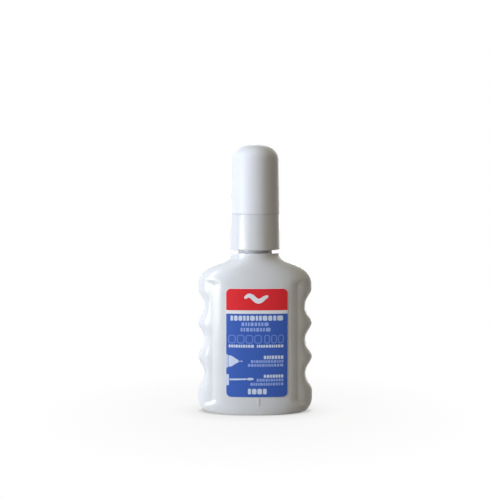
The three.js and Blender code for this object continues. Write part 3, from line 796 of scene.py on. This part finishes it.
# Each strand is a thin six-sided tube whose foot lies on a sunflower spiral in the ferrule. It
# bows out to the tuft's belly and back in towards the tip, with a small bend of its own.
def makeBristles():
    s = brush
    rng = np.random.default_rng(7)
    bottom, top = span("brush_bristles")
    count, rows, sides = s["strands"], 11, 6
    index = np.arange(count)
    share = np.sqrt((index + 0.5) / count)[:, None]
    turn = (index * math.pi * (3 - math.sqrt(5)))[:, None]
    t = np.linspace(0, 1, rows)[None, :]
    length = 1 - s["shorter"] * rng.random(count)[:, None] * share - 0.05 * share**2
    belly = smoothStep(0.06, 0.5, t) * (1 - smoothStep(0.55, 1.02, t))
    root, tuftBelly, end = s["tuftRoot"], s["tuftBelly"], s["tuftTip"]
    radius = share * (root + (tuftBelly - root) * belly + (end - root) * smoothStep(0.6, 1, t))
    radius = radius + rng.normal(0, s["stray"], (count, 1)) * t**2
    swirl = turn + rng.normal(0, s["swirl"], (count, 1)) * t
    z = top + (bottom - top) * t * length
    centre = polar(radius, swirl, z)
    around = -np.arange(sides) * 2 * np.pi / sides
    width = s["strandRadius"] * (1 - 0.55 * smoothStep(0.7, 1, t))[..., None]
    strands = centre[:, :, None, :] + polar(width, around, 0)
    obj = joinedMesh("brush_tuft", [(strand, False) for strand in strands])
    rootColour, tipColour = (0.2, 0.19, 0.18, 1), (0.72, 0.7, 0.64, 1)
    finish = nylonStrands("nylon strands", rootColour, tipColour, low("brush_ferrule"), bottom)
    finishPiece(obj, "head", finish, "bristle_nylon", "brush_bristles")


# The ball: an arc from pole to pole turned about Z, then moved to where the CAD has the ball.
def makeBall():
    bottom, top = span("mixing_ball")
    centre = (bottom + top) / 2
    x = sum(corner.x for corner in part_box("mixing_ball")) / 2 / mm
    radius = (top - bottom) / 2
    angle = np.radians(np.linspace(-88, 88, 40))
    rings = turnedRings(arcPoints(0, centre, radius, angle), 64)
    rings[..., 0] += x
    finishPiece(tubeMesh("steel_ball", rings), "ball", ballFinish, "steel", "mixing_ball")


wiper = {"lip": 1.9, "foot": 3.4, "radius": 3.8, "flange": 5.3, "well": 3.0, "flangeHeight": 0.8, "lead": 0.6}


# The wiper: a plug with a pointed foot and a flange on the neck's rim. The floor of its well slopes
# from two leads over the foot, at the wall, to one lead, at the lip.
def makeWiper():
    w = wiper
    bottom, top = span("neck_wiper")
    flangeZ, leadZ, wellZ = top - w["flangeHeight"], bottom + w["lead"], bottom + 2 * w["lead"]
    corners = [(w["lip"], bottom, 0.1), (w["foot"], bottom, 0.1), (w["radius"], leadZ, 0.2)]
    corners += [(w["radius"], flangeZ, 0.1), (w["flange"], flangeZ, 0.1), (w["flange"], top, 0.2)]
    corners += [(w["well"], top, 0.3), (w["well"], wellZ, 0.3), (w["lip"], leadZ, 0.1)]
    turnedPiece("wiper_plug", corners, True, 96, "bottle", innerFinish, "inner_plastic", "neck_wiper")


gasket = {"bore": 4.3, "radius": 6.65, "edge": 0.12}


# The gasket: a flat ring with the same rounding on all its edges.
def makeGasket():
    bottom, top = span("neck_gasket")
    bore, radius, edge = gasket["bore"], gasket["radius"], gasket["edge"]
    corners = [(bore, bottom, edge), (radius, bottom, edge), (radius, top, edge), (bore, top, edge)]
    turnedPiece("gasket_ring", corners, True, 96, "gasket", sealFinish, "soft_seal", "neck_gasket")


makeNozzle()
makeTip()
makeNeedle()
makeSpring()
makeStem()
makeFerrule()
makeBristles()
makeBall()
makeWiper()
makeGasket()
# These two stay as the CAD has them, with a finish of their own.
for name in ("stem_holder", "spring_retainer"):
    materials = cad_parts[name].data.materials
    materials.clear()
    materials.append(innerFinish)
print("nozzle, brush and inner pieces made")


# Label

label = {
    "halfWidth": 9.45,
    "offset": 0.5,
    "bottom": 5.75,
    "height": 33.45,
    "corner": 1.5,
    "lift": 0.03,
    "thickness": 0.09,
    "inkLift": 0.002,
    "inkThickness": 0.012,
    "border": 0.13,  # of the white backing sheet, seen round the print
    "backing": 0.05,
    "gloss": 0.25,
    "redBottom": 32.58,
    "blueTop": 31.52,
    "red": (0.88, 0.028, 0.036, 1),
    "blue": (0.053, 0.135, 0.53, 1),
    "white": (0.93, 0.93, 0.94, 1),
    "ink": (0.7, 0.78, 0.97),
    "thinInk": (0.33, 0.45, 0.84),
    "outlineInk": (0.18, 0.29, 0.7),
}


# A sheet with round corners on the panel, grown all round by a margin. Its stations go into the
# corners by the sine of even steps of angle, and the corner's circle is cut off both edges there.
def labelSheet(name, grow, thickness):
    c, w = label["corner"] + grow, label["halfWidth"] + grow
    bend = w - c + c * np.sin(np.radians(np.linspace(0, 84, 12)))
    flat = np.linspace(-(w - c), w - c, 90)
    x = np.concatenate([-bend[::-1], flat[1:-1], bend])
    into = np.maximum(0, np.abs(x) - (w - c))
    cut = c - np.sqrt(np.maximum(c**2 - into**2, 0))
    lowZ, highZ = label["bottom"] - grow + cut, label["bottom"] + label["height"] + grow - cut
    return tubeMesh(name, panelSlab(x + label["offset"], lowZ, highZ, label["lift"], thickness))


# Printed film: a red band, a white gap and a blue field by height, under a fine print grain.
def labelFinish():
    finish = Finish("printed film", IOR=1.5, Roughness=0.42, Specular_IOR_Level=label["gloss"])
    height = finish.node("SeparateXYZ", {"Vector": finish.place()})["Z"]

    def above(edge):
        return finish.spread(height, edge * mm - 0.00002, edge * mm + 0.00002, 0, 1)

    isRed, aboveBlue = above(label["redBottom"]), above(label["blueTop"])
    isBlue = finish.node("Math", {0: 1.0, 1: aboveBlue}, operation="SUBTRACT")[0]
    colour = finish.mix(isBlue, finish.mix(isRed, label["white"], label["red"]), label["blue"])
    grain = finish.spread(finish.noise(5200, 3.0, 0.6), 0.3, 0.7, 0.95, 1.05)
    finish.link(finish.node("HueSaturation", {"Color": colour, "Value": grain})[0], "Base Color")
    finish.link(finish.bump(finish.noise(350, 2.0), 0.12, 0.00006), "Normal")
    return finish.material


# A stroke of ink along a path on the panel, thin and slightly raised: the path's points pushed out
# to both sides by the half width, which shrinks along a quarter circle towards both ends.
def inkStroke(x, z, halfWidth, corner=None, closed=False):
    path = np.stack(np.broadcast_arrays(x, z), -1)
    ahead = np.roll(path, -1, 0) - np.roll(path, 1, 0)
    if not closed:
        ahead[0], ahead[-1] = path[1] - path[0], path[-1] - path[-2]
    ahead /= np.linalg.norm(ahead, axis=1)[:, None]
    width = np.broadcast_to(np.asarray(halfWidth, float), len(path)).copy()
    if corner:
        run = np.concatenate([[0], np.cumsum(np.linalg.norm(np.diff(path, axis=0), axis=1))])
        toEnd = np.minimum(np.minimum(run, run[-1] - run), corner)
        width -= corner - np.sqrt(np.maximum(corner**2 - (corner - toEnd) ** 2, 0))
        width = np.maximum(width, 0.004)
    across = np.stack([-ahead[:, 1], ahead[:, 0]], -1) * width[:, None]
    left, right = (path + across).T, (path - across).T
    back = label["lift"] + label["thickness"] + label["inkLift"]
    front = back + label["inkThickness"]
    corners = ((left, back), (left, front), (right, front), (right, back))
    return np.stack([overPanel(*side, height) for side, height in corners], 1), closed


# A bar with round ends: a straight stroke along its middle, half as wide as the bar is high. Its
# stations are close together in its ends and even between them.
def inkBar(start, end, bottom, top, corner):
    bend = corner * (1 - np.cos(np.radians(np.linspace(0, 90, 7))))
    middle = np.linspace(start + corner, end - corner, max(3, int((end - start) / 0.7)) + 1)
    x = np.concatenate([start + bend[:-1], middle, end - bend[-2::-1]])
    return inkStroke(x, (bottom + top) / 2, (top - bottom) / 2, corner)


# A row of plain blocks, each as long as a random draw between the shortest and the longest.
def inkRow(rng, start, end, bottom, top, shortest, longest, gap):
    strokes = []
    x = start
    while end - x > shortest:
        length = min(rng.uniform(shortest, longest), end - x)
        if end - x - length < shortest + gap:
            length = end - x
        strokes.append(inkBar(x, x + length, bottom, top, min((top - bottom) * 0.3, length * 0.3)))
        x += length + gap
    return strokes


# A closed rounded outline: a superellipse with straight sides, drawn as a thin line.
def inkOutline(start, end, bottom, top, line):
    t = np.linspace(0, 2 * np.pi, 40, endpoint=False)
    half = np.array([(end - start) / 2, (top - bottom) / 2]) - line
    c, s = np.cos(t), np.sin(t)
    x = (start + end) / 2 + half[0] * np.sign(c) * np.abs(c) ** 0.55
    z = (bottom + top) / 2 + half[1] * np.sign(s) * np.abs(s) ** 0.55
    return inkStroke(x, z, line, closed=True)


# All strokes of one ink as a single mesh, under a fine print grain in their tint.
def inkPiece(name, strokes, colour):
    obj = joinedMesh(name, strokes)
    finish = Finish(name.replace("_", " "), Roughness=0.42, IOR=1.5, Specular_IOR_Level=label["gloss"])
    grain = finish.noise(6000, 3.0, 0.6)
    paler = tuple(min(1, c * 1.12 + 0.01) for c in colour)
    finish.link(finish.mix(finish.spread(grain, 0.35, 0.65, 0, 1), (*colour, 1), (*paler, 1)), "Base Color")
    finishPiece(obj, "bottle", finish.material, "printed_film")


printed = {
    # start, end, bottom, top, shortest and longest block, gap
    "bold": [
        (-7.63, 8.52, 29.39, 30.95, 0.7, 1.5, 0.28),
        (2.6, 8.64, 17.53, 18.63, 0.45, 0.9, 0.2),
        (2.6, 8.64, 11.75, 12.74, 0.45, 0.9, 0.2),
        (-2.28, 3.5, 6.66, 8.37, 0.8, 1.5, 0.3),
        (-8.17, -0.45, 21.09, 21.99, 0.4, 0.8, 0.18),
        (0.46, 8.64, 21.09, 21.99, 0.4, 0.8, 0.18),
    ],
    "fine": [
        (-4.24, 4.09, 27.72, 28.88, 0.5, 1.0, 0.3),
        (-4.51, 4.7, 26.06, 27.22, 0.5, 1.0, 0.3),
        (-1.37, 8.64, 16.38, 17.24, 0.4, 0.8, 0.22),
        (-2.28, 8.64, 15.18, 16.08, 0.4, 0.8, 0.22),
        (0.4, 8.64, 10.61, 11.47, 0.4, 0.8, 0.22),
        (-1.49, 8.64, 9.33, 10.24, 0.4, 0.8, 0.22),
    ],
    # start and end of each group, and the number of outlined shapes in it
    "outlined": [(-8.33, 1.99, 4), (2.75, 8.79, 3)],
    "outlinedZ": (22.38, 25.03),
    "outlineLine": 0.14,
    "outlineGap": 0.35,
    # ends, middle height, swing, half width at the ends and what it gains in the middle
    "wave": (-3.3, 4.0, 36.2, 1.0, 0.34, 0.42),
    "tipMiddle": 16.9,
    "brushMiddle": 11.2,
}


# The white mark on the red band: a swelling wave, as if drawn with the pen.
def waveMark():
    start, end, middle, swing, thin, gain = printed["wave"]
    x = np.linspace(start, end, 60)
    turn = (x - x[0]) / (x[-1] - x[0])
    z = middle + swing * np.sin(turn * 2.5 * np.pi) * (1 - 0.35 * turn)
    return inkStroke(x, z, thin + gain * np.sin(np.pi * turn) ** 0.7, 0.3)


# Small picture of the metal tip: a flat disc, a cone that narrows and a thin line for the tube.
def tipPicture():
    cone = np.linspace(-8.3, -5.2, 24)
    half = 1.75 - 1.35 * smoothStep(-7.9, -5.0, cone)
    tube = np.linspace(-5.1, -3.85, 6)
    middle = printed["tipMiddle"]
    return [
        inkBar(-8.9, -8.45, middle - 2.05, middle + 2.05, 0.15),
        inkStroke(cone, middle, half, 0.12),
        inkStroke(tube, middle, 0.1),
    ]


# Small picture of the brush: a disc, a thin stem and a tuft that swells and closes.
def brushPicture():
    stem = np.linspace(-8.0, -2.7, 16)
    tuft = np.linspace(-2.6, -0.5, 20)
    along = (tuft + 2.6) / 2.1
    middle, slope = printed["brushMiddle"], 0.03
    return [
        inkBar(-8.9, -8.15, middle - 1.8, middle + 1.6, 0.2),
        inkStroke(stem, middle + slope * (stem + 8), 0.26 - 0.02 * (stem + 8) / 5),
        inkStroke(tuft, middle + slope * (tuft + 8), 0.2 + 0.2 * np.sin(np.pi * along**0.8), 0.12),
    ]


# The printed film, the white sheet behind it and the ink on it.
def makeLabel():
    film = labelSheet("label_film", 0, label["thickness"])
    finishPiece(film, "bottle", labelFinish(), "printed_film", "front_label")
    backing = Finish("label backing", Base_Color=label["white"], Roughness=0.5)
    backSheet = labelSheet("label_backing", label["border"], label["backing"])
    finishPiece(backSheet, "bottle", backing.material, "printed_film")
    inkPiece("label_mark", [waveMark()], label["white"][:3])
    rng = np.random.default_rng(11)
    for kind, ink in (("bold", "ink"), ("fine", "thinInk")):
        strokes = [stroke for row in printed[kind] for stroke in inkRow(rng, *row)]
        inkPiece("label_" + kind, strokes, label[ink])
    outlines = []
    gap = printed["outlineGap"]
    for start, end, count in printed["outlined"]:
        step = (end - start + gap) / count
        for i in range(count):
            x = start + step * i
            outlines.append(inkOutline(x, x + step - gap, *printed["outlinedZ"], printed["outlineLine"]))
    inkPiece("label_outlines", outlines, label["outlineInk"])
    inkPiece("label_pictures", tipPicture() + brushPicture(), label["ink"])


makeLabel()
print("label made")


# Floor, light and camera

view = {
    "framePixels": (490, 499),
    "scale": 0.3137,  # millimetres to a pixel at the pen's middle plane
    "penAxis": 255.1,  # pixel column of the pen's axis
    "baseRow": 411.8,  # pixel row of the base
    "distance": 285.0,
    "height": 64.0,
    "sensor": 36,
}


# The lens is the sensor's width times the distance to the frame's middle over the width shown, and
# the camera looks down by the slope from itself to that middle.
def makeCamera():
    v = view
    wide = v["framePixels"][0] * v["scale"]
    centreX = (v["framePixels"][0] / 2 - v["penAxis"]) * v["scale"]
    centreZ = (v["baseRow"] - v["framePixels"][1] / 2) * v["scale"]
    data = bpy.data.cameras.new("camera")
    data.sensor_fit = "HORIZONTAL"
    data.sensor_width = v["sensor"]
    tilt = math.atan2(v["height"] - centreZ, v["distance"])
    data.lens = v["sensor"] * v["distance"] / math.cos(tilt) / wide
    data.clip_start = 0.01
    camera = bpy.data.objects.new("camera", data)
    camera.location = (centreX * mm, -v["distance"] * mm, v["height"] * mm)
    camera.rotation_euler = (math.pi / 2 - tilt, 0, 0)
    bpy.context.scene.collection.objects.link(camera)
    bpy.context.scene.camera = camera


lights = {
    # azimuth from the camera's side (left is minus), elevation, distance, width, height, watts, colour
    "key": (-63, 8, 0.45, 0.09, 0.40, 1.58, (0.58, 0.69, 1.0)),
    "soft": (-50, 2, 0.26, 0.2, 0.30, 0.24, (0.66, 0.6, 1.0)),
    "low": (-60, -4, 0.3, 0.2, 0.08, 0.35, (0.93, 0.98, 0.66)),
    "high": (-30, 62, 0.5, 0.3, 0.3, 0.72, (0.96, 0.98, 0.73)),
    "fill": (72, 12, 0.5, 0.1, 0.45, 0.07, (1.0, 0.45, 0.05)),
    "rim": (150, 12, 0.45, 0.2, 0.40, 0.3, (1.0, 0.98, 0.94)),
    "back": (180, 20, 0.55, 0.4, 0.4, 1.4, (0.9, 0.95, 1.0)),
}


# A lamp on a sphere round the pen's middle, at its azimuth and elevation, and facing that middle.
def makeLight(name, azimuth, elevation, distance, width, height, watts, colour):
    data = bpy.data.lights.new(name, "AREA")
    data.shape = "RECTANGLE"
    data.size, data.size_y = width, height
    data.energy = watts
    data.color = colour
    lamp = bpy.data.objects.new(name, data)
    a, e = math.radians(azimuth), math.radians(elevation)
    away = np.array([math.sin(a) * math.cos(e), -math.cos(a) * math.cos(e), math.sin(e)])
    lamp.location = away * distance + surroundings["middle"]
    lamp.rotation_euler = (math.pi / 2 - e, 0, a)
    bpy.context.scene.collection.objects.link(lamp)


surroundings = {
    "middle": (0, 0, 0.045),  # where the lamps point, in metres
    "ambient": (0.05, 0.046, 0.04, 1),
    "floor": (0.34, 0.31, 0.26, 1),  # as it lights the pen; it is seen white
    "shadowReach": (20, 70),  # the cast shadow is whole inside the first and gone by the second
    "castShare": 0.08,
    # reach and strength of the painted shadow close under the pen and of the painted dark shadow line at its
    # foot
    "contact": [(10, 0.3), (1.8, 0.38)],
}


# One where the ray comes from the camera, or by reflection or glass, and zero for diffuse light.
def seenDirectly(tree):
    path = addNode(tree, "LightPath")
    seen = path["Is Camera Ray"]
    for name in ("Is Glossy Ray", "Is Transmission Ray"):
        seen = addNode(tree, "Math", {0: seen, 1: path[name]}, operation="MAXIMUM")[0]
    return seen


# White where it is seen directly, and the ambient colour where it lights the pen.
def makeWorld():
    world = bpy.data.worlds.new("studio")
    bpy.context.scene.world = world
    world.use_nodes = True
    tree = world.node_tree
    ambient = tree.nodes["Background"]
    ambient.inputs["Color"].default_value = surroundings["ambient"]
    white = addNode(tree, "Background", {"Color": (1, 1, 1, 1)})[0]
    mixed = addNode(tree, "MixShader", {0: seenDirectly(tree), 1: ambient.outputs[0], 2: white})[0]
    tree.links.new(mixed, tree.nodes["World Output"].inputs[0])


# The floor glows white where it is seen, times its two close shadows, painted shadow from ambient
# occlusion; a share of it near the pen is a plain surface that takes cast shadows. Diffuse light
# meets the plain surface alone.
def makeFloor():
    half = 3000.0
    corners = half * np.array([(-1, -1, 0), (1, -1, 0), (1, 1, 0), (-1, 1, 0)])
    floor = makeMesh("floor", corners, np.array([[0, 1, 2, 3]]))
    finish = Finish("floor", Roughness=0.9, Base_Color=surroundings["floor"])
    tree = finish.tree
    seen = (1, 1, 1, 1)
    # Painted shadow: each pass darkens the white glow by ambient occlusion close under the pen.
    for reach, strength in surroundings["contact"]:
        close = finish.node("AmbientOcclusion", {"Distance": reach * mm}, samples=8)["Color"]
        factors = {0: strength, 6: seen, 7: close}
        seen = finish.node("Mix", factors, data_type="RGBA", blend_type="MULTIPLY")[2]
    glow = finish.node("Emission", {"Color": seen, "Strength": 1.0})[0]
    distance = finish.node("VectorMath", {0: finish.place()}, operation="LENGTH")["Value"]
    near, far = surroundings["shadowReach"]
    plain = finish.spread(distance, near * mm, far * mm, 1 - surroundings["castShare"], 1)
    share = finish.node("Math", {0: seenDirectly(tree), 1: plain}, operation="MULTIPLY")[0]
    mixed = finish.node("MixShader", {0: share, 1: finish.shader.outputs[0], 2: glow})[0]
    tree.links.new(mixed, tree.nodes["Material Output"].inputs[0])
    floor.data.materials.append(finish.material)


makeCamera()
for lightName, values in lights.items():
    makeLight(lightName, *values)
makeWorld()
makeFloor()
bpy.context.scene.view_settings.view_transform = "Standard"
print("floor, light and camera made")
